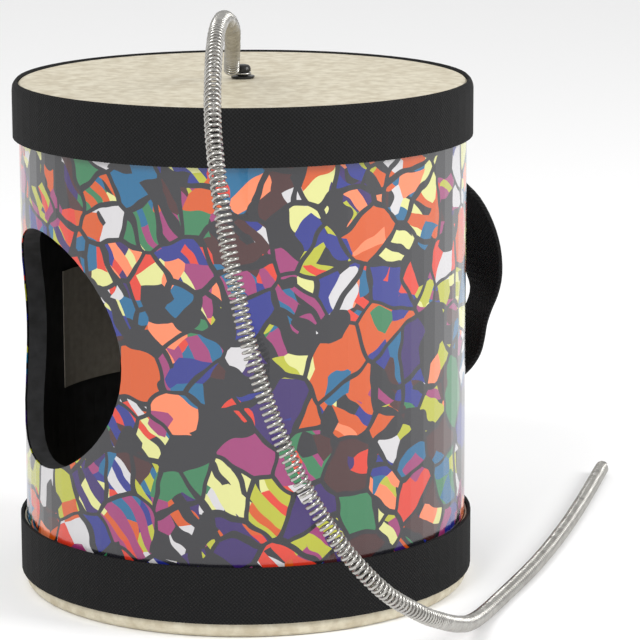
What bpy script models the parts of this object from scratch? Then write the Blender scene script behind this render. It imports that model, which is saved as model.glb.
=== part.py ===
"""A spring drum: a paper tube with a film head on each end, a long coil spring
screwed to the middle of the upper head, a round sound hole and a webbing hand strap.

The drum's axis is Z and it stands on z = 0. The sound hole looks along -Y and the
hand strap is opposite it, at +Y. Sizes are in millimetres, times MM.
"""

import math

import bmesh
import bpy
from mathutils import Matrix, Vector

MM = 0.001

# Gap that pieces resting on each other keep
GAP = 0.3 * MM

# Paper tube
SHELL_RADIUS = 75.5 * MM
SHELL_WALL = 5.6 * MM
SHELL_LENGTH = 173.0 * MM
SHELL_EDGE_RADIUS = 2.0 * MM
WRAP_THICKNESS = 0.4 * MM
SOUND_HOLE_DIAMETER = 81.0 * MM
SOUND_HOLE_HEIGHT = 88.2 * MM

# Heads: a film disc whose collar folds down over the end of the tube
FILM_THICKNESS = 0.5 * MM
SHOULDER_RADIUS = 2.6 * MM
COLLAR_MARGIN = 1.0 * MM

# Webbing bands round the collars
BAND_WIDTH = 19.05 * MM
BAND_THICKNESS = 1.1 * MM
BAND_CURL = math.radians(50)
LOWER_BAND_HEIGHT = 5.2 * MM

# Screw that holds the spring on the upper head
ANCHOR_SHANK_DIAMETER = 3.0 * MM
ANCHOR_HEAD_DIAMETER = 5.5 * MM
ANCHOR_HEAD_HEIGHT = 2.3 * MM
ANCHOR_THREAD_PAST_NUT = 1.0 * MM
ANCHOR_NUT_ACROSS_FLATS = 5.5 * MM
ANCHOR_NUT_HEIGHT = 2.4 * MM
ANCHOR_OUTER_WASHER = (8.0 * MM, 0.6 * MM)
ANCHOR_INNER_WASHER = (9.0 * MM, 0.8 * MM)

# Screws that hold the two ends of the strap
STRAP_SHANK_DIAMETER = 4.0 * MM
STRAP_HEAD_DIAMETER = 8.0 * MM
STRAP_HEAD_HEIGHT = 2.6 * MM
STRAP_THREAD_PAST_NUT = 1.0 * MM
STRAP_NUT_ACROSS_FLATS = 7.0 * MM
STRAP_NUT_HEIGHT = 3.2 * MM
STRAP_WASHER = (10.0 * MM, 0.8 * MM)
UPPER_STRAP_SCREW_HEIGHT = 145.0 * MM
LOWER_STRAP_SCREW_HEIGHT = 54.0 * MM

# Clearance of every hole over the shank that passes through it, on the diameter
HOLE_CLEARANCE = 0.6 * MM

# Hand strap
STRAP_WIDTH = 19.0 * MM
STRAP_THICKNESS = 1.8 * MM
STRAP_END_PAST_SCREW = 7.0 * MM
STRAP_EDGE_ROUNDING = 0.5 * MM

# Paper label on the inner wall, by its angle from the sound hole towards -X
LABEL_THICKNESS = 0.3 * MM
LABEL_ANGLE = math.radians(62)
LABEL_WIDTH = 32.0 * MM
LABEL_HEIGHT = 42.0 * MM
LABEL_MIDDLE = 82.0 * MM

# Coil spring
SPRING_DIAMETER = 5.5 * MM
WIRE_DIAMETER = 0.95 * MM
SPRING_CURLS = 86
POINTS_PER_CURL = 8
CLOSE_CURLS = 4
CLOSE_PITCH = 1.7 * MM
EYE_CLEARANCE = 0.5 * MM
EYE_SWEEP = math.radians(285)
EYE_POINTS = 12
LEAD_POINTS = 4

# The spring leaves the drum on this side, measured from -Y towards +X
SPRING_AZIMUTH = math.radians(66)

# Middle line of the spring from the screw to the free end: reach away from the drum's
# axis on the spring's side, then sideways, then height over the table. It stands up
# from the head, arches clear of the band and comes down to the table, where its tail
# runs back past the drum.
SPRING_ROUTE = [
    (4.4, -3.9, 178.0),
    (9.0, -3.9, 182.6),
    (17.0, -4.0, 187.0),
    (28.0, -4.3, 191.2),
    (44.0, -4.9, 196.4),
    (62.0, -6.6, 201.0),
    (83.0, -9.2, 203.8),
    (104.7, -11.7, 201.4),
    (124.5, -13.3, 192.0),
    (141.1, -13.8, 177.6),
    (153.4, -12.2, 159.4),
    (160.9, -9.1, 138.9),
    (164.4, -4.6, 117.6),
    (166.8, 1.8, 96.6),
    (168.7, 10.5, 76.5),
    (168.6, 21.8, 57.5),
    (162.5, 34.9, 41.3),
    (148.6, 47.5, 29.6),
    (130.1, 56.8, 21.0),
    (109.8, 63.4, 13.8),
    (89.2, 69.2, 7.8),
    (68.7, 75.5, 4.0),
    (48.7, 83.2, 2.8),
    (8.0, 100.4, 2.8),
    (-33.5, 115.5, 2.8),
    (-75.5, 129.0, 2.8),
    (-128.0, 144.6, 2.8),
]

# Middle line of the strap between its two flat ends: distance from the drum's axis,
# height, and the twist in degrees that turns its +X edge outwards
STRAP_ROUTE = [
    (80.3, 133.5, 6.0),
    (86.3, 126.0, 14.0),
    (90.8, 117.0, 20.0),
    (93.6, 108.0, 22.0),
    (95.4, 99.0, 12.0),
    (95.6, 92.0, -2.0),
    (93.6, 86.5, -6.0),
    (91.0, 82.0, 0.0),
    (89.2, 77.0, 6.0),
    (87.4, 72.0, 8.0),
    (84.2, 67.5, 6.0),
    (80.2, 64.0, 3.0),
]

# Facets
DRUM_SEGMENTS = 72
SMALL_SEGMENTS = 18
HOLE_SEGMENTS = 64
ARC_STEPS = 3
ROUTE_STEPS = 40
SHARP_ANGLE = math.radians(35)

# Heights and radii that follow from the sizes above
SHELL_BOTTOM = FILM_THICKNESS + GAP
SHELL_TOP = SHELL_BOTTOM + SHELL_LENGTH
HEAD_TOP = SHELL_TOP + GAP + FILM_THICKNESS
SHELL_INNER_RADIUS = SHELL_RADIUS - SHELL_WALL
WRAP_INNER_RADIUS = SHELL_RADIUS + GAP
WRAP_OUTER_RADIUS = WRAP_INNER_RADIUS + WRAP_THICKNESS
COLLAR_INNER_RADIUS = WRAP_OUTER_RADIUS + GAP
COLLAR_OUTER_RADIUS = COLLAR_INNER_RADIUS + FILM_THICKNESS
BAND_INNER_RADIUS = COLLAR_OUTER_RADIUS + GAP
BAND_OUTER_RADIUS = BAND_INNER_RADIUS + BAND_THICKNESS
CURL_LENGTH = BAND_CURL * (SHOULDER_RADIUS + GAP + BAND_THICKNESS / 2)
UPPER_BAND_BOTTOM = HEAD_TOP - SHOULDER_RADIUS - (BAND_WIDTH - CURL_LENGTH)
WIRE_RADIUS = WIRE_DIAMETER / 2
COIL_RADIUS = SPRING_DIAMETER / 2 - WIRE_RADIUS
STRAP_INNER_FACE = WRAP_OUTER_RADIUS + GAP
STRAP_END_TOP = UPPER_STRAP_SCREW_HEIGHT + STRAP_END_PAST_SCREW
STRAP_END_BOTTOM = LOWER_STRAP_SCREW_HEIGHT - STRAP_END_PAST_SCREW


def clear_scene():
    for old in list(bpy.data.objects):
        bpy.data.objects.remove(old, do_unlink=True)


def paint(obj, color, roughness, metallic=0.0):
    """Gives the object a plain material of its own."""
    material = bpy.data.materials.new(obj.name)
    material.use_nodes = True
    shader = material.node_tree.nodes["Principled BSDF"]
    shader.inputs["Base Color"].default_value = (*color, 1.0)
    shader.inputs["Roughness"].default_value = roughness
    shader.inputs["Metallic"].default_value = metallic
    obj.data.materials.clear()
    obj.data.materials.append(material)


def soften(mesh):
    mesh.shade_smooth()
    mesh.set_sharp_from_angle(angle=SHARP_ANGLE)


def object_from_bmesh(name, bm):
    """Makes an object whose faces point outwards."""
    bmesh.ops.recalc_face_normals(bm, faces=bm.faces)
    mesh = bpy.data.meshes.new(name)
    bm.to_mesh(mesh)
    bm.free()
    soften(mesh)
    obj = bpy.data.objects.new(name, mesh)
    bpy.context.collection.objects.link(obj)
    return obj


def arc(middle, radius, first, last, steps=ARC_STEPS):
    """Points of an arc in a profile, by angles from +X."""
    turn = (last - first) / steps
    return [
        (middle[0] + radius * math.cos(first + turn * i), middle[1] + radius * math.sin(first + turn * i))
        for i in range(steps + 1)
    ]


def turned(name, profile, segments=DRUM_SEGMENTS):
    """Turns a profile of (radius, height) points round the Z axis.

    A profile that starts and ends on the axis makes a solid piece, any other one is a
    closed outline and makes a ring.
    """
    bm = bmesh.new()
    verts = [bm.verts.new((radius, 0.0, height)) for radius, height in profile]
    on_axis = profile[0][0] == 0.0 and profile[-1][0] == 0.0
    pairs = list(zip(verts, verts[1:]))
    if not on_axis:
        pairs.append((verts[-1], verts[0]))
    edges = [bm.edges.new(pair) for pair in pairs]
    bmesh.ops.spin(
        bm,
        geom=verts + edges,
        axis=(0, 0, 1),
        cent=(0, 0, 0),
        steps=segments,
        angle=math.tau,
        use_merge=True,
    )
    bmesh.ops.remove_doubles(bm, verts=bm.verts, dist=1e-6)
    return object_from_bmesh(name, bm)


def cylinder_along_y(name, diameter, height, near, far, segments):
    """A guide solid for cutting a hole along Y, from y = near to y = far."""
    bm = bmesh.new()
    place = Matrix.Translation((0, (near + far) / 2, height)) @ Matrix.Rotation(math.pi / 2, 4, "X")
    bmesh.ops.create_cone(
        bm,
        cap_ends=True,
        segments=segments,
        radius1=diameter / 2,
        radius2=diameter / 2,
        depth=abs(far - near),
        matrix=place,
    )
    obj = object_from_bmesh(name, bm)
    obj.hide_render = True
    obj.display_type = "WIRE"
    return obj


def cut(obj, cutters):
    """Cuts holes and keeps the result as the object's mesh."""
    for cutter in cutters:
        boolean = obj.modifiers.new(cutter.name, "BOOLEAN")
        boolean.operation = "DIFFERENCE"
        boolean.solver = "EXACT"
        boolean.object = cutter
    bpy.context.view_layer.update()
    seen = obj.evaluated_get(bpy.context.evaluated_depsgraph_get())
    mesh = bpy.data.meshes.new_from_object(seen)
    obj.modifiers.clear()
    obj.data = mesh
    soften(mesh)


def hole_cutters():
    """The sound hole and the two strap screw holes, shared by the tube and its wrap."""
    reach = 2 * WRAP_OUTER_RADIUS
    inside = SHELL_INNER_RADIUS / 2
    screw_hole = STRAP_SHANK_DIAMETER + HOLE_CLEARANCE
    return [
        cylinder_along_y(
            "sound_hole_cutter", SOUND_HOLE_DIAMETER, SOUND_HOLE_HEIGHT, -inside, -reach, HOLE_SEGMENTS
        ),
        cylinder_along_y(
            "upper_screw_cutter", screw_hole, UPPER_STRAP_SCREW_HEIGHT, inside, reach, SMALL_SEGMENTS
        ),
        cylinder_along_y(
            "lower_screw_cutter", screw_hole, LOWER_STRAP_SCREW_HEIGHT, inside, reach, SMALL_SEGMENTS
        ),
    ]


def make_shell(cutters):
    """Open paper tube with rounded outer rims."""
    rim = SHELL_RADIUS - SHELL_EDGE_RADIUS
    quarter = math.pi / 2
    profile = [(SHELL_INNER_RADIUS, SHELL_TOP)]
    profile += reversed(arc((rim, SHELL_TOP - SHELL_EDGE_RADIUS), SHELL_EDGE_RADIUS, 0, quarter, 3))
    profile += reversed(arc((rim, SHELL_BOTTOM + SHELL_EDGE_RADIUS), SHELL_EDGE_RADIUS, -quarter, 0, 3))
    profile.append((SHELL_INNER_RADIUS, SHELL_BOTTOM))
    shell = turned("shell", profile)
    cut(shell, cutters)
    paint(shell, (0.03, 0.03, 0.03), 0.7)


def make_wrap(cutters):
    """Printed cloth glued round the tube, from shoulder to shoulder."""
    low = SHELL_BOTTOM + SHELL_EDGE_RADIUS
    high = SHELL_TOP - SHELL_EDGE_RADIUS
    profile = [
        (WRAP_INNER_RADIUS, high),
        (WRAP_OUTER_RADIUS, high),
        (WRAP_OUTER_RADIUS, low),
        (WRAP_INNER_RADIUS, low),
    ]
    wrap = turned("printed_wrap", profile)
    cut(wrap, cutters)
    paint(wrap, (0.16, 0.05, 0.18), 0.25)


def head_profile(hole_radius, collar_end):
    """Half section of a head whose flat face is at height 0 and whose collar hangs down."""
    quarter = math.pi / 2
    inner_shoulder = SHOULDER_RADIUS - FILM_THICKNESS
    middle = (COLLAR_OUTER_RADIUS - SHOULDER_RADIUS, -SHOULDER_RADIUS)
    outer = [(hole_radius, 0.0)]
    outer += reversed(arc(middle, SHOULDER_RADIUS, 0, quarter))
    outer.append((COLLAR_OUTER_RADIUS, collar_end))
    inner = [(COLLAR_INNER_RADIUS, collar_end)]
    inner += arc(middle, inner_shoulder, 0, quarter)
    inner.append((hole_radius, -FILM_THICKNESS))
    return outer + inner


def make_heads():
    """Upper head, pierced for the spring's screw, and plain lower head."""
    pierced = (ANCHOR_SHANK_DIAMETER + HOLE_CLEARANCE) / 2
    collar_end = UPPER_BAND_BOTTOM + COLLAR_MARGIN - HEAD_TOP
    upper = [(radius, HEAD_TOP + height) for radius, height in head_profile(pierced, collar_end)]
    top_head = turned("top_head", upper)
    paint(top_head, (0.55, 0.50, 0.38), 0.55)

    collar_end = COLLAR_MARGIN - LOWER_BAND_HEIGHT - BAND_WIDTH
    lower = [(radius, -height) for radius, height in head_profile(0.0, collar_end)]
    bottom_head = turned("bottom_head", lower)
    paint(bottom_head, (0.55, 0.50, 0.38), 0.55)


def make_bands():
    """Upper band, whose top edge curls over the shoulder, and straight lower band."""
    middle = (COLLAR_OUTER_RADIUS - SHOULDER_RADIUS, HEAD_TOP - SHOULDER_RADIUS)
    inside = SHOULDER_RADIUS + GAP
    outside = inside + BAND_THICKNESS
    profile = arc(middle, inside, 0, BAND_CURL)
    profile += reversed(arc(middle, outside, 0, BAND_CURL))
    profile.append((BAND_OUTER_RADIUS, UPPER_BAND_BOTTOM))
    profile.append((BAND_INNER_RADIUS, UPPER_BAND_BOTTOM))
    top_band = turned("top_band", profile)
    paint(top_band, (0.012, 0.012, 0.012), 0.8)

    high = LOWER_BAND_HEIGHT + BAND_WIDTH
    profile = [
        (BAND_INNER_RADIUS, high),
        (BAND_OUTER_RADIUS, high),
        (BAND_OUTER_RADIUS, LOWER_BAND_HEIGHT),
        (BAND_INNER_RADIUS, LOWER_BAND_HEIGHT),
    ]
    bottom_band = turned("bottom_band", profile)
    paint(bottom_band, (0.012, 0.012, 0.012), 0.8)


def make_label():
    """Blank paper label on the inner wall, seen through the sound hole."""
    outer = SHELL_INNER_RADIUS - GAP
    inner = outer - LABEL_THICKNESS
    steps = 8
    half = LABEL_WIDTH / 2 / outer
    low = LABEL_MIDDLE - LABEL_HEIGHT / 2
    high = LABEL_MIDDLE + LABEL_HEIGHT / 2
    bm = bmesh.new()
    rings = []
    for i in range(steps + 1):
        angle = -math.pi / 2 - LABEL_ANGLE + half * (2 * i / steps - 1)
        out = Vector((math.cos(angle), math.sin(angle), 0))
        corners = ((outer, low), (outer, high), (inner, high), (inner, low))
        rings.append([bm.verts.new(out * radius + Vector((0, 0, z))) for radius, z in corners])
    for ring, after in zip(rings, rings[1:]):
        for i in range(4):
            bm.faces.new((ring[i], ring[(i + 1) % 4], after[(i + 1) % 4], after[i]))
    bm.faces.new(rings[0])
    bm.faces.new(rings[-1])
    label = object_from_bmesh("inner_label", bm)
    # The wall is made of flat facets, which come nearer than its corners
    facet = math.cos(math.pi / DRUM_SEGMENTS)
    label.scale = (facet, facet, 1.0)
    paint(label, (0.35, 0.31, 0.26), 0.8)


def fastener_washer(name, size, shank):
    """Flat ring whose underside is at height 0."""
    diameter, thickness = size
    bore = (shank + HOLE_CLEARANCE) / 2
    profile = [(bore, thickness), (diameter / 2, thickness), (diameter / 2, 0.0), (bore, 0.0)]
    washer = turned(name, profile, SMALL_SEGMENTS)
    paint(washer, (0.05, 0.05, 0.05), 0.4, 1.0)
    return washer


def fastener_nut(name, across_flats, height, shank):
    """Hexagon nut whose underside is at height 0, its thread left as a plain bore."""
    bm = bmesh.new()
    corner = across_flats / 2 / math.cos(math.pi / 6)
    bore = (shank + HOLE_CLEARANCE) / 2
    outline = [corner * Vector((math.cos(i * math.pi / 3), math.sin(i * math.pi / 3), 0)) for i in range(6)]
    turn = math.tau / SMALL_SEGMENTS
    circle = [bore * Vector((math.cos(i * turn), math.sin(i * turn), 0)) for i in range(SMALL_SEGMENTS)]
    rise = Vector((0, 0, height))
    share = SMALL_SEGMENTS // 6
    for points in (outline, circle):
        low = [bm.verts.new(p) for p in points]
        high = [bm.verts.new(p + rise) for p in points]
        for i in range(len(points)):
            after = (i + 1) % len(points)
            bm.faces.new((low[i], low[after], high[after], high[i]))
    bm.verts.ensure_lookup_table()
    for first_outline, first_circle in ((0, 12), (6, 12 + SMALL_SEGMENTS)):
        for side in range(6):
            rim = [bm.verts[first_circle + (side * share + k) % SMALL_SEGMENTS] for k in range(share + 1)]
            near = bm.verts[first_outline + side]
            far = bm.verts[first_outline + (side + 1) % 6]
            bm.faces.new([near, far] + rim[::-1])
    nut = object_from_bmesh(name, bm)
    paint(nut, (0.45, 0.45, 0.45), 0.35, 1.0)
    return nut


def fastener_screw(name, head_diameter, head_height, shank, length):
    """Pan head screw: its head stands on height 0 and its shank hangs down."""
    radius = head_diameter / 2
    flat = radius * 0.45
    lift = head_height * 0.35
    quarter = math.pi / 2
    dome = [
        (flat + (radius - flat) * math.sin(quarter * i / ARC_STEPS), lift + (head_height - lift) * math.cos(quarter * i / ARC_STEPS))
        for i in range(ARC_STEPS + 1)
    ]
    profile = [(0.0, head_height)] + dome
    profile += [(radius, 0.0), (shank / 2, 0.0), (shank / 2, -length), (0.0, -length)]
    screw = turned(name, profile, SMALL_SEGMENTS)
    paint(screw, (0.04, 0.04, 0.04), 0.35, 1.0)
    return screw


def anchor_stack():
    """Heights of the pieces on the spring's screw, from the washer on the head upwards."""
    washer = HEAD_TOP + GAP
    eye = washer + ANCHOR_OUTER_WASHER[1] + GAP + WIRE_RADIUS
    head = eye + WIRE_RADIUS + GAP
    return washer, eye, head


def make_anchor():
    """Screw, washers and nut that clamp the head film and hold the spring's eye."""
    washer, eye, head = anchor_stack()
    inner_washer = HEAD_TOP - FILM_THICKNESS - GAP - ANCHOR_INNER_WASHER[1]
    nut = inner_washer - GAP - ANCHOR_NUT_HEIGHT
    shank = ANCHOR_SHANK_DIAMETER
    fastener_washer("anchor_outer_washer", ANCHOR_OUTER_WASHER, shank).location.z = washer
    fastener_washer("anchor_inner_washer", ANCHOR_INNER_WASHER, shank).location.z = inner_washer
    fastener_nut("anchor_nut", ANCHOR_NUT_ACROSS_FLATS, ANCHOR_NUT_HEIGHT, shank).location.z = nut
    length = head - nut + ANCHOR_THREAD_PAST_NUT
    fastener_screw(
        "anchor_screw", ANCHOR_HEAD_DIAMETER, ANCHOR_HEAD_HEIGHT, shank, length
    ).location.z = head


def make_strap_fasteners():
    """Screw, two washers and nut at each end of the strap, all along +Y."""
    shank = STRAP_SHANK_DIAMETER
    outer_washer = STRAP_INNER_FACE + STRAP_THICKNESS + GAP
    head = outer_washer + STRAP_WASHER[1] + GAP
    half = STRAP_WASHER[0] / 2
    wall = math.sqrt(SHELL_INNER_RADIUS**2 - half**2) * math.cos(math.pi / DRUM_SEGMENTS)
    inner_washer = wall - GAP - STRAP_WASHER[1]
    nut = inner_washer - GAP - STRAP_NUT_HEIGHT
    length = head - nut + STRAP_THREAD_PAST_NUT
    for end, height in (("upper", UPPER_STRAP_SCREW_HEIGHT), ("lower", LOWER_STRAP_SCREW_HEIGHT)):
        pieces = [
            (fastener_washer(f"strap_washer_{end}", STRAP_WASHER, shank), outer_washer),
            (fastener_washer(f"strap_inner_washer_{end}", STRAP_WASHER, shank), inner_washer),
            (fastener_nut(f"strap_nut_{end}", STRAP_NUT_ACROSS_FLATS, STRAP_NUT_HEIGHT, shank), nut),
            (
                fastener_screw(f"strap_screw_{end}", STRAP_HEAD_DIAMETER, STRAP_HEAD_HEIGHT, shank, length),
                head,
            ),
        ]
        for piece, reach in pieces:
            piece.rotation_euler.x = -math.pi / 2
            piece.location = (0, reach, height)


def smooth_route(points, steps):
    """Points of a smooth curve through the given ones, with the given steps in each run."""
    padded = [2 * points[0] - points[1]] + points + [2 * points[-1] - points[-2]]
    route = []
    for before, start, end, after in zip(padded, padded[1:], padded[2:], padded[3:]):
        run = (end - start).length
        leave = (end - before) * (run / ((start - before).length + run))
        reach = (after - start) * (run / ((after - end).length + run))
        for i in range(steps):
            t = i / steps
            route.append(
                start * (1 + 2 * t) * (1 - t) ** 2
                + leave * t * (1 - t) ** 2
                + end * t * t * (3 - 2 * t)
                + reach * t * t * (t - 1)
            )
    route.append(points[-1])
    return route


def make_strap():
    """Webbing strap that lies flat under its two screws and stands off between them."""
    middle = STRAP_INNER_FACE + STRAP_THICKNESS / 2
    bend = 6.5 * MM
    flat_top = UPPER_STRAP_SCREW_HEIGHT - bend
    flat_bottom = LOWER_STRAP_SCREW_HEIGHT + bend
    stations = [(middle, STRAP_END_TOP, 0.0), (middle, flat_top, 0.0)]
    stations += [(reach * MM, height * MM, math.radians(twist)) for reach, height, twist in STRAP_ROUTE]
    stations += [(middle, flat_bottom, 0.0), (middle, STRAP_END_BOTTOM, 0.0)]
    # The third coordinate carries the twist, scaled so that it barely bends the curve
    line = smooth_route([Vector((twist * MM, reach, height)) for reach, height, twist in stations], 3)
    half = STRAP_WIDTH / 2
    thin = STRAP_THICKNESS / 2
    inset = half - STRAP_EDGE_ROUNDING
    section = [(half, 0), (inset, thin), (-inset, thin), (-half, 0), (-inset, -thin), (inset, -thin)]
    bm = bmesh.new()
    rings = []
    for i, point in enumerate(line):
        ahead = line[min(i + 1, len(line) - 1)] - line[max(i - 1, 0)]
        out = Vector((0, -ahead.z, ahead.y)).normalized()
        twist = point.x / MM
        across = math.cos(twist) * Vector((1, 0, 0)) + math.sin(twist) * out
        face = across.cross(Vector((0, ahead.y, ahead.z)).normalized())
        place = Vector((0, point.y, point.z))
        rings.append([bm.verts.new(place + across * a + face * b) for a, b in section])
    count = len(section)
    for ring, after in zip(rings, rings[1:]):
        for i in range(count):
            bm.faces.new((ring[i], ring[(i + 1) % count], after[(i + 1) % count], after[i]))
    bm.faces.new(rings[0])
    bm.faces.new(rings[-1])
    strap = object_from_bmesh("hand_strap", bm)
    screw_hole = STRAP_SHANK_DIAMETER + HOLE_CLEARANCE
    heights = (UPPER_STRAP_SCREW_HEIGHT, LOWER_STRAP_SCREW_HEIGHT)
    near, far = STRAP_INNER_FACE - STRAP_THICKNESS, STRAP_INNER_FACE + 2 * STRAP_THICKNESS
    cutters = [
        cylinder_along_y(f"strap_hole_cutter_{i}", screw_hole, height, near, far, SMALL_SEGMENTS)
        for i, height in enumerate(heights)
    ]
    cut(strap, cutters)
    paint(strap, (0.012, 0.012, 0.012), 0.8)


def spring_axis():
    """Points of the spring's middle line and the distance run at each of them."""
    out = Vector((math.sin(SPRING_AZIMUTH), -math.cos(SPRING_AZIMUTH), 0))
    side = Vector((math.cos(SPRING_AZIMUTH), math.sin(SPRING_AZIMUTH), 0))
    points = [MM * (out * reach + side * across + Vector((0, 0, height))) for reach, across, height in SPRING_ROUTE]
    line = smooth_route(points, ROUTE_STEPS)
    run = [0.0]
    for before, after in zip(line, line[1:]):
        run.append(run[-1] + (after - before).length)
    return line, run


def spring_frames(line):
    """A pair of directions square to the line at each point, turning with it least."""
    frames = []
    across = None
    for i in range(len(line)):
        along = (line[min(i + 1, len(line) - 1)] - line[max(i - 1, 0)]).normalized()
        if across is None:
            # Points to the screw's right as seen looking from it to the foot of the spring
            foot = Vector((line[0].x, line[0].y, 0)).normalized()
            across = Vector((foot.y, -foot.x, 0))
        across = (across - along * across.dot(along)).normalized()
        frames.append((across, along.cross(across), along))
    return frames


def coil_turns(run):
    """Turns made at a distance along the spring: close at both ends and even between."""
    length = run[-1]
    close = CLOSE_CURLS * CLOSE_PITCH
    even = (length - 2 * close) / (SPRING_CURLS - 2 * CLOSE_CURLS)

    def turns(distance):
        if distance <= close:
            return distance / CLOSE_PITCH
        if distance >= length - close:
            return SPRING_CURLS - (length - distance) / CLOSE_PITCH
        return CLOSE_CURLS + (distance - close) / even

    return turns


def coil_points():
    """Wire centre line of the coil, POINTS_PER_CURL points to each curl."""
    line, run = spring_axis()
    frames = spring_frames(line)
    turns = coil_turns(run)
    at = [turns(distance) for distance in run]
    points = []
    index = 0
    for i in range(SPRING_CURLS * POINTS_PER_CURL + 1):
        turn = min(i / POINTS_PER_CURL, at[-1])
        while index < len(at) - 2 and at[index + 1] < turn:
            index += 1
        share = (turn - at[index]) / (at[index + 1] - at[index])
        middle = line[index].lerp(line[index + 1], share)
        across, up, along = frames[index]
        angle = math.tau * turn
        points.append(middle + COIL_RADIUS * (across * math.cos(angle) + up * math.sin(angle)))
    return points


def eye_points(foot):
    """Loop of wire round the screw, which leaves it towards the foot of the spring."""
    height = anchor_stack()[1]
    radius = ANCHOR_SHANK_DIAMETER / 2 + EYE_CLEARANCE + WIRE_RADIUS
    leave = math.atan2(foot.y, foot.x) - math.pi / 2
    return [
        Vector((radius * math.cos(leave - EYE_SWEEP * (1 - i / EYE_POINTS)), radius * math.sin(leave - EYE_SWEEP * (1 - i / EYE_POINTS)), height))
        for i in range(EYE_POINTS + 1)
    ]


def lead_points(eye, coil):
    """Wire between the eye and the coil, smooth at both ends."""
    start, end = eye[-1], coil[0]
    span = (end - start).length
    leave = (eye[-1] - eye[-2]).normalized() * span
    reach = (coil[1] - coil[0]).normalized() * span
    points = []
    for i in range(1, LEAD_POINTS + 1):
        t = i / (LEAD_POINTS + 1)
        points.append(
            start * (1 + 2 * t) * (1 - t) ** 2
            + leave * t * (1 - t) ** 2
            + end * t * t * (3 - 2 * t)
            + reach * t * t * (t - 1)
        )
    return points


def least_self_gap(points):
    """Smallest clear distance between parts of the wire over half a curl apart."""
    skip = POINTS_PER_CURL // 2 + 1
    near = 3 * POINTS_PER_CURL
    least = math.inf
    for i, point in enumerate(points):
        for other in points[i + skip : i + near]:
            least = min(least, (other - point).length)
    return least - WIRE_DIAMETER


def make_spring():
    """One unbroken wire: the eye round the screw, its lead, and the coil to the free end."""
    coil = coil_points()
    eye = eye_points(coil_foot())
    points = eye + lead_points(eye, coil) + coil
    curve = bpy.data.curves.new("spring", "CURVE")
    curve.dimensions = "3D"
    curve.bevel_depth = WIRE_RADIUS
    curve.bevel_resolution = 1
    curve.use_fill_caps = True
    spline = curve.splines.new("POLY")
    spline.points.add(len(points) - 1)
    for target, point in zip(spline.points, points):
        target.co = (*point, 1.0)
    spring = bpy.data.objects.new("spring", curve)
    bpy.context.collection.objects.link(spring)
    paint(spring, (0.30, 0.29, 0.27), 0.35, 1.0)
    print(f"spring: {len(points)} points, least gap to itself {least_self_gap(points) / MM:.2f} mm")


def coil_foot():
    return spring_axis()[0][0]


def main():
    clear_scene()
    cutters = hole_cutters()
    make_shell(cutters)
    make_wrap(cutters)
    make_heads()
    make_bands()
    make_label()
    make_anchor()
    make_strap_fasteners()
    make_strap()
    make_spring()


main()
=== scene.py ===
import math

import bpy
from mathutils import Matrix, Vector


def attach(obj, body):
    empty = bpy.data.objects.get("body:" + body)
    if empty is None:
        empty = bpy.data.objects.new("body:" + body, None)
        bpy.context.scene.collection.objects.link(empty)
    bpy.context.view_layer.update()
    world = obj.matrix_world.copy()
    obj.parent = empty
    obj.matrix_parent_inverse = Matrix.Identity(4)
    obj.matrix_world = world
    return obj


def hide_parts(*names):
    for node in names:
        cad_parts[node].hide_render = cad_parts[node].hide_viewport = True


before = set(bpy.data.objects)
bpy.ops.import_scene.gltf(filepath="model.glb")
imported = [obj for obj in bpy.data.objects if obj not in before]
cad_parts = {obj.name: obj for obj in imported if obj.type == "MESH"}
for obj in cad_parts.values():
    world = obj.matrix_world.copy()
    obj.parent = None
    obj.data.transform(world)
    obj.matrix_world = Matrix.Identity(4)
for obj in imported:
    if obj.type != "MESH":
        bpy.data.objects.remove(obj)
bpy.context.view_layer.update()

MM = 0.001

# Camera, fitted to the photograph
LENS = 178.3
SENSOR_WIDTH = 36
CAMERA_PLACE = (0.9636, -0.4700, 0.3134)
CAMERA_AZIMUTH = math.radians(64)
CAMERA_PAN = 0.0243
CAMERA_PITCH = 0.205
CAMERA_ROLL = -0.0026

# Spring: its route is the one that the model has, in millimetres, as reach on the
# spring's side, sideways and height
SPRING_DIAMETER = 5.5 * MM
WIRE_RADIUS = 0.475 * MM
COIL_RADIUS = SPRING_DIAMETER / 2 - WIRE_RADIUS
FOOT_PITCH = 1.2 * MM
OPEN_PITCH = 1.9 * MM
FOOT_LENGTH = 60 * MM
POINTS_PER_CURL = 12
EYE_RADIUS = 2.475 * MM
EYE_HEIGHT = 176.28 * MM
EYE_SWEEP = math.radians(285)
EYE_STEPS = 24
LEAD_STEPS = 8
WIRE_BEVEL = 2
SPRING_AZIMUTH = math.radians(66)
ROUTE_STEPS = 40
SPRING_ROUTE = [
    (4.4, -3.9, 178.0), (9.0, -3.9, 182.6), (17.0, -4.0, 187.0), (28.0, -4.3, 191.2),
    (44.0, -4.9, 196.4), (62.0, -6.6, 201.0), (83.0, -9.2, 203.8), (104.7, -11.7, 201.4),
    (124.5, -13.3, 192.0), (141.1, -13.8, 177.6), (153.4, -12.2, 159.4), (160.9, -9.1, 138.9),
    (164.4, -4.6, 117.6), (166.8, 1.8, 96.6), (168.7, 10.5, 76.5), (168.6, 21.8, 57.5),
    (162.5, 34.9, 41.3), (148.6, 47.5, 29.6), (130.1, 56.8, 21.0), (109.8, 63.4, 13.8),
    (89.2, 69.2, 7.8), (68.7, 75.5, 4.0), (48.7, 83.2, 2.8), (8.0, 100.4, 2.8),
    (-33.5, 115.5, 2.8), (-75.5, 129.0, 2.8), (-128.0, 144.6, 2.8),
]

# Webbing weave
WEAVE_ACROSS = 1.35 * MM
WEAVE_ALONG = 1.3 * MM
BAND_RADIUS = 78.4 * MM

# Noise and cells are so many to a metre
CELL_SCALE = 66
DAB_SCALE = 115
STRIPE_SCALE = 62
WARP_SCALE = 38
GLOSS_SCALE = 900
FIBRE_SCALE = 260

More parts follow.
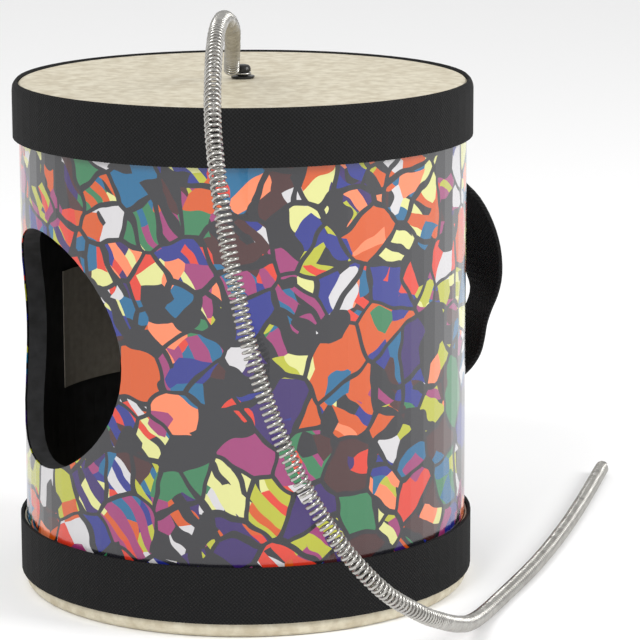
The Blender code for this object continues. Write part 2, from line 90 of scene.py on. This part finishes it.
# How far the print's cells are pushed out of shape, and its stripes bent
WARP_REACH = 14 * MM
STRIPE_BEND = 2.5

# Levels over which a cell is striped, a stripe shows and a dab shows, and the width of
# the outlines in cells
STRIPED_FROM = 0.5
STRIPE_FROM = 0.62
DAB_FROM = 0.72
OUTLINE_WIDTH = 0.05

# Share of the print's cells that are left in the dark ground
DARK_SHARE = 0.22

# Plain materials: darker and lighter colour, roughness, metallic and grains to a metre
SPRING_STEEL = ((0.34, 0.33, 0.31), (0.5, 0.49, 0.46), 0.22, 1.0, 300)
BLACK_PAPER = ((0.012, 0.012, 0.012), (0.03, 0.03, 0.032), 0.6, 0.0, 220)
LABEL_PAPER = ((0.3, 0.27, 0.22), (0.38, 0.34, 0.29), 0.8, 0.0, 400)
DARK_STEEL = ((0.02, 0.02, 0.02), (0.06, 0.06, 0.06), 0.35, 1.0, 500)
PLAIN_STEEL = ((0.4, 0.4, 0.4), (0.5, 0.5, 0.5), 0.35, 1.0, 500)

# Lights: name, place, power and size, all aimed at the middle of the drum
LIGHTS = [
    ("key", (0.9, -1.2, 1.3), 17, 0.7),
    ("side", (0.9, 0.9, 0.8), 10, 0.6),
]
AIM = Vector((0, 0, 0.09))
WORLD_LEVEL = 0.8
FLOOR_SIZE = 12
FLOOR_COLOR = (0.98, 0.98, 0.98, 1.0)

# Colours of the print, dark ground first
PRINT_COLORS = [
    (0.012, 0.012, 0.016), (0.26, 0.026, 0.127), (0.026, 0.007, 0.102), (0.01, 0.017, 0.19),
    (0.0, 0.102, 0.223), (0.021, 0.156, 0.061), (0.376, 0.385, 0.021), (0.515, 0.07, 0.002),
    (0.578, 0.032, 0.013), (0.045, 0.01, 0.01), (0.515, 0.503, 0.515), (0.578, 0.578, 0.223),
    (0.75, 0.19, 0.08),
]


def camera():
    """Places the camera as the photograph was taken."""
    forward = Vector((
        math.sin(CAMERA_PAN) * math.cos(CAMERA_PITCH),
        math.cos(CAMERA_PAN) * math.cos(CAMERA_PITCH),
        -math.sin(CAMERA_PITCH),
    ))
    right = Vector((math.cos(CAMERA_PAN), -math.sin(CAMERA_PAN), 0))
    up = right.cross(forward)
    turned = math.cos(CAMERA_ROLL) * right + math.sin(CAMERA_ROLL) * up
    up = -math.sin(CAMERA_ROLL) * right + math.cos(CAMERA_ROLL) * up
    to_model = Matrix.Rotation(CAMERA_AZIMUTH, 3, "Z")
    axes = [to_model @ v for v in (turned, up, -forward)]
    data = bpy.data.cameras.new("camera")
    data.lens = LENS
    data.sensor_width = SENSOR_WIDTH
    obj = bpy.data.objects.new("camera", data)
    bpy.context.collection.objects.link(obj)
    obj.matrix_world = Matrix.Translation(CAMERA_PLACE) @ Matrix(axes).transposed().to_4x4()
    bpy.context.scene.camera = obj


class Shader:
    """A node material that is built up link by link."""

    def __init__(self, name, roughness, metallic=0.0):
        self.material = bpy.data.materials.new(name)
        self.material.use_nodes = True
        self.nodes = self.material.node_tree.nodes
        self.links = self.material.node_tree.links
        self.shader = self.nodes["Principled BSDF"]
        self.shader.inputs["Roughness"].default_value = roughness
        self.shader.inputs["Metallic"].default_value = metallic
        self.place = self.nodes.new("ShaderNodeTexCoord").outputs["Object"]

    def feed(self, target, value):
        """Links a socket to the target, or sets a plain value on it."""
        if hasattr(value, "links"):
            self.links.new(value, target)
        else:
            target.default_value = value

    def math(self, operation, a, b=0.0):
        node = self.nodes.new("ShaderNodeMath")
        node.operation = operation
        self.feed(node.inputs[0], a)
        self.feed(node.inputs[1], b)
        return node.outputs[0]

    def noise(self, scale, detail=4.0):
        node = self.nodes.new("ShaderNodeTexNoise")
        node.inputs["Scale"].default_value = scale
        node.inputs["Detail"].default_value = detail
        self.links.new(self.place, node.inputs["Vector"])
        return node.outputs["Fac"]

    def ramp(self, factor, stops, constant=False):
        node = self.nodes.new("ShaderNodeValToRGB")
        ramp = node.color_ramp
        ramp.interpolation = "CONSTANT" if constant else "LINEAR"
        while len(ramp.elements) < len(stops):
            ramp.elements.new(0.5)
        for element, (position, color) in zip(ramp.elements, stops):
            element.position = position
            element.color = (*color, 1.0)
        self.links.new(factor, node.inputs["Fac"])
        return node.outputs["Color"]

    def mix(self, factor, a, b):
        node = self.nodes.new("ShaderNodeMix")
        node.data_type = "RGBA"
        self.feed(node.inputs[0], factor)
        self.feed(node.inputs[6], a)
        self.feed(node.inputs[7], b)
        return node.outputs[2]

    def color(self, value):
        self.feed(self.shader.inputs["Base Color"], value)

    def bump(self, height, distance, strength=1.0):
        node = self.nodes.new("ShaderNodeBump")
        node.inputs["Distance"].default_value = distance
        node.inputs["Strength"].default_value = strength
        self.links.new(height, node.inputs["Height"])
        self.links.new(node.outputs["Normal"], self.shader.inputs["Normal"])

    def axes(self):
        node = self.nodes.new("ShaderNodeSeparateXYZ")
        self.links.new(self.place, node.inputs[0])
        return node.outputs


def film_material():
    """Cream film, mottled by its fibres."""
    shader = Shader("film", 0.5)
    fibres = shader.noise(FIBRE_SCALE, 8)
    shader.color(shader.ramp(fibres, [(0.35, (0.47, 0.41, 0.29)), (0.65, (0.62, 0.57, 0.44))]))
    shader.bump(fibres, 0.1 * MM, 0.4)
    return shader.material


def webbing_material(name, straight):
    """Black webbing with its weave, along Z or round the drum; painted shade darkens the weave's
    hollows.
    """
    shader = Shader(name, 0.85)
    shader.shader.inputs["Specular IOR Level"].default_value = 0.25
    x, y, z = shader.axes()
    around = x if straight else shader.math("MULTIPLY", shader.math("ARCTAN2", y, x), BAND_RADIUS)
    columns = shader.math("SINE", shader.math("MULTIPLY", around, math.tau / WEAVE_ACROSS))
    rows = shader.math("SINE", shader.math("MULTIPLY", z, math.tau / WEAVE_ALONG))
    weave = shader.math("MULTIPLY", columns, rows)
    relief_and_shade = shader.math("ADD", shader.math("MULTIPLY", weave, 0.5), 0.5)
    # painted shade: the colour follows the weave height, darker where the weave is low and lighter
    # on its raised crossings
    shader.color(shader.ramp(relief_and_shade, [(0.1, (0.001, 0.001, 0.001)), (0.9, (0.009, 0.009, 0.0095))]))
    shader.bump(relief_and_shade, 0.35 * MM)
    return shader.material


def print_material():
    """Pattern of warped cells, some striped or dabbed, with dark outlines."""
    shader = Shader("print", 0.22)
    warp = shader.nodes.new("ShaderNodeTexNoise")
    warp.inputs["Scale"].default_value = WARP_SCALE
    shader.links.new(shader.place, warp.inputs["Vector"])
    push = shader.nodes.new("ShaderNodeVectorMath")
    push.operation = "MULTIPLY_ADD"
    shader.links.new(warp.outputs["Color"], push.inputs[0])
    push.inputs[1].default_value = (WARP_REACH, WARP_REACH, WARP_REACH)
    shader.links.new(shader.place, push.inputs[2])
    warped = push.outputs[0]

    def cells(scale, feature):
        node = shader.nodes.new("ShaderNodeTexVoronoi")
        node.feature = feature
        node.inputs["Scale"].default_value = scale
        shader.links.new(warped, node.inputs["Vector"])
        return node.outputs["Distance" if feature == "DISTANCE_TO_EDGE" else "Color"]

    def channel(color, index):
        node = shader.nodes.new("ShaderNodeSeparateColor")
        shader.links.new(color, node.inputs[0])
        return node.outputs[index]

    step = (1 - DARK_SHARE) / (len(PRINT_COLORS) - 1)
    stops = [(0.0, PRINT_COLORS[0])]
    stops += [(DARK_SHARE + step * i, color) for i, color in enumerate(PRINT_COLORS[1:])]
    large = cells(CELL_SCALE, "F1")
    small = cells(DAB_SCALE, "F1")
    ground = shader.ramp(channel(large, 0), stops, constant=True)
    marks = shader.ramp(channel(small, 1), stops, constant=True)
    wave = shader.nodes.new("ShaderNodeTexWave")
    wave.bands_direction = "DIAGONAL"
    wave.inputs["Scale"].default_value = STRIPE_SCALE
    wave.inputs["Distortion"].default_value = STRIPE_BEND
    shader.links.new(warped, wave.inputs["Vector"])
    stripe = shader.math("GREATER_THAN", wave.outputs["Fac"], STRIPE_FROM)
    chosen = shader.math("GREATER_THAN", channel(large, 2), STRIPED_FROM)
    striped = shader.math("MULTIPLY", stripe, chosen)
    dabs = shader.math("GREATER_THAN", channel(small, 0), DAB_FROM)
    color = shader.mix(striped, ground, marks)
    color = shader.mix(dabs, color, marks)
    edge = shader.math("LESS_THAN", cells(CELL_SCALE, "DISTANCE_TO_EDGE"), OUTLINE_WIDTH)
    color = shader.mix(edge, color, (*PRINT_COLORS[0], 1.0))
    shader.color(color)
    shader.shader.inputs["Coat Weight"].default_value = 0.5
    shader.bump(shader.noise(GLOSS_SCALE, 2), 0.05 * MM, 0.25)
    return shader.material


def plain_material(name, dark, light, roughness, metallic, scale):
    """Metal, paper or paint with a little variation."""
    shader = Shader(name, roughness, metallic)
    grain = shader.noise(scale)
    shader.color(shader.ramp(grain, [(0.3, dark), (0.7, light)]))
    shader.bump(grain, 0.05 * MM, 0.3)
    return shader.material


def dress(node, material):
    """Gives a node of the model the material."""
    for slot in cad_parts[node].material_slots:
        slot.material = material


def smooth_route():
    """Points of the spring's middle line, as the model has them."""
    out = Vector((math.sin(SPRING_AZIMUTH), -math.cos(SPRING_AZIMUTH), 0))
    side = Vector((math.cos(SPRING_AZIMUTH), math.sin(SPRING_AZIMUTH), 0))
    points = [MM * (out * reach + side * across + Vector((0, 0, height)))
              for reach, across, height in SPRING_ROUTE]
    padded = [2 * points[0] - points[1]] + points + [2 * points[-1] - points[-2]]
    line = []
    for prior, start, end, after in zip(padded, padded[1:], padded[2:], padded[3:]):
        run = (end - start).length
        leave = (end - prior) * (run / ((start - prior).length + run))
        reach = (after - start) * (run / ((after - end).length + run))
        line += [hermite(start, leave, end, reach, i / ROUTE_STEPS) for i in range(ROUTE_STEPS)]
    line.append(points[-1])
    return line


def hermite(start, leave, end, reach, t):
    """Point at share t of a smooth run that leaves and reaches its ends as told."""
    return (start * (1 + 2 * t) * (1 - t) ** 2 + leave * t * (1 - t) ** 2
            + end * t * t * (3 - 2 * t) + reach * t * t * (t - 1))


def spring():
    """One wire: the eye round the screw, its lead, and the coil, closer at the foot."""
    line = smooth_route()
    foot = line[0]
    leave = math.atan2(foot.y, foot.x) - math.pi / 2
    eye = []
    for i in range(EYE_STEPS + 1):
        angle = leave - EYE_SWEEP * (1 - i / EYE_STEPS)
        eye.append(Vector((EYE_RADIUS * math.cos(angle), EYE_RADIUS * math.sin(angle), EYE_HEIGHT)))
    across = Vector((foot.y, -foot.x, 0)).normalized()
    angle, run, coil = 0.0, 0.0, []
    for start, end in zip(line, line[1:]):
        along = (end - start).normalized()
        across = (across - along * across.dot(along)).normalized()
        length = (end - start).length
        share = min(run / FOOT_LENGTH, 1.0)
        pitch = FOOT_PITCH + (OPEN_PITCH - FOOT_PITCH) * share
        steps = max(1, round(length / pitch * POINTS_PER_CURL))
        for i in range(steps):
            middle = start.lerp(end, i / steps)
            turn = angle + math.tau * length / pitch * i / steps
            out = across * math.cos(turn) + along.cross(across) * math.sin(turn)
            coil.append(middle + COIL_RADIUS * out)
        angle += math.tau * length / pitch
        run += length
    span = (coil[0] - eye[-1]).length
    leave = (eye[-1] - eye[-2]).normalized() * span
    reach = (coil[1] - coil[0]).normalized() * span
    lead = [hermite(eye[-1], leave, coil[0], reach, i / LEAD_STEPS)
            for i in range(1, LEAD_STEPS)]
    points = eye + lead + coil
    curve = bpy.data.curves.new("spring_wire", "CURVE")
    curve.dimensions = "3D"
    curve.bevel_depth = WIRE_RADIUS
    curve.bevel_resolution = WIRE_BEVEL
    curve.use_fill_caps = True
    spline = curve.splines.new("POLY")
    spline.points.add(len(points) - 1)
    for target, point in zip(spline.points, points):
        target.co = (*point, 1.0)
    wire = bpy.data.objects.new("spring_wire", curve)
    bpy.context.collection.objects.link(wire)
    curve.materials.append(plain_material("spring_steel", *SPRING_STEEL))
    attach(wire, "spring")
    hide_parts("spring")


def floor_and_light():
    """Pale floor and world, and the two lamps."""
    bpy.ops.mesh.primitive_plane_add(size=FLOOR_SIZE, location=(0, 0, 0))
    floor = bpy.context.object
    floor.name = "floor"
    shader = Shader("floor", 0.9)
    shader.color(FLOOR_COLOR)
    floor.data.materials.append(shader.material)
    world = bpy.data.worlds.new("world")
    bpy.context.scene.world = world
    world.use_nodes = True
    world.node_tree.nodes["Background"].inputs["Color"].default_value = (1, 1, 1, 1)
    world.node_tree.nodes["Background"].inputs["Strength"].default_value = WORLD_LEVEL
    for name, place, power, size in LIGHTS:
        data = bpy.data.lights.new(name, "AREA")
        data.energy = power
        data.size = size
        light = bpy.data.objects.new(name, data)
        bpy.context.collection.objects.link(light)
        light.location = place
        aim = AIM - Vector(place)
        light.rotation_euler = aim.to_track_quat("-Z", "Y").to_euler()
    bpy.context.scene.view_settings.view_transform = "Standard"


camera()
spring()
film = film_material()
dress("top_head", film)
dress("bottom_head", film)
band = webbing_material("webbing_band", False)
dress("top_band", band)
dress("bottom_band", band)
dress("hand_strap", webbing_material("webbing_strap", True))
dress("printed_wrap", print_material())
dress("shell", plain_material("tube", *BLACK_PAPER))
dress("inner_label", plain_material("label", *LABEL_PAPER))
dark = plain_material("dark_steel", *DARK_STEEL)
bright = plain_material("plain_steel", *PLAIN_STEEL)
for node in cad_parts:
    if "screw" in node or "washer" in node:
        dress(node, dark)
    elif "nut" in node:
        dress(node, bright)
floor_and_light()
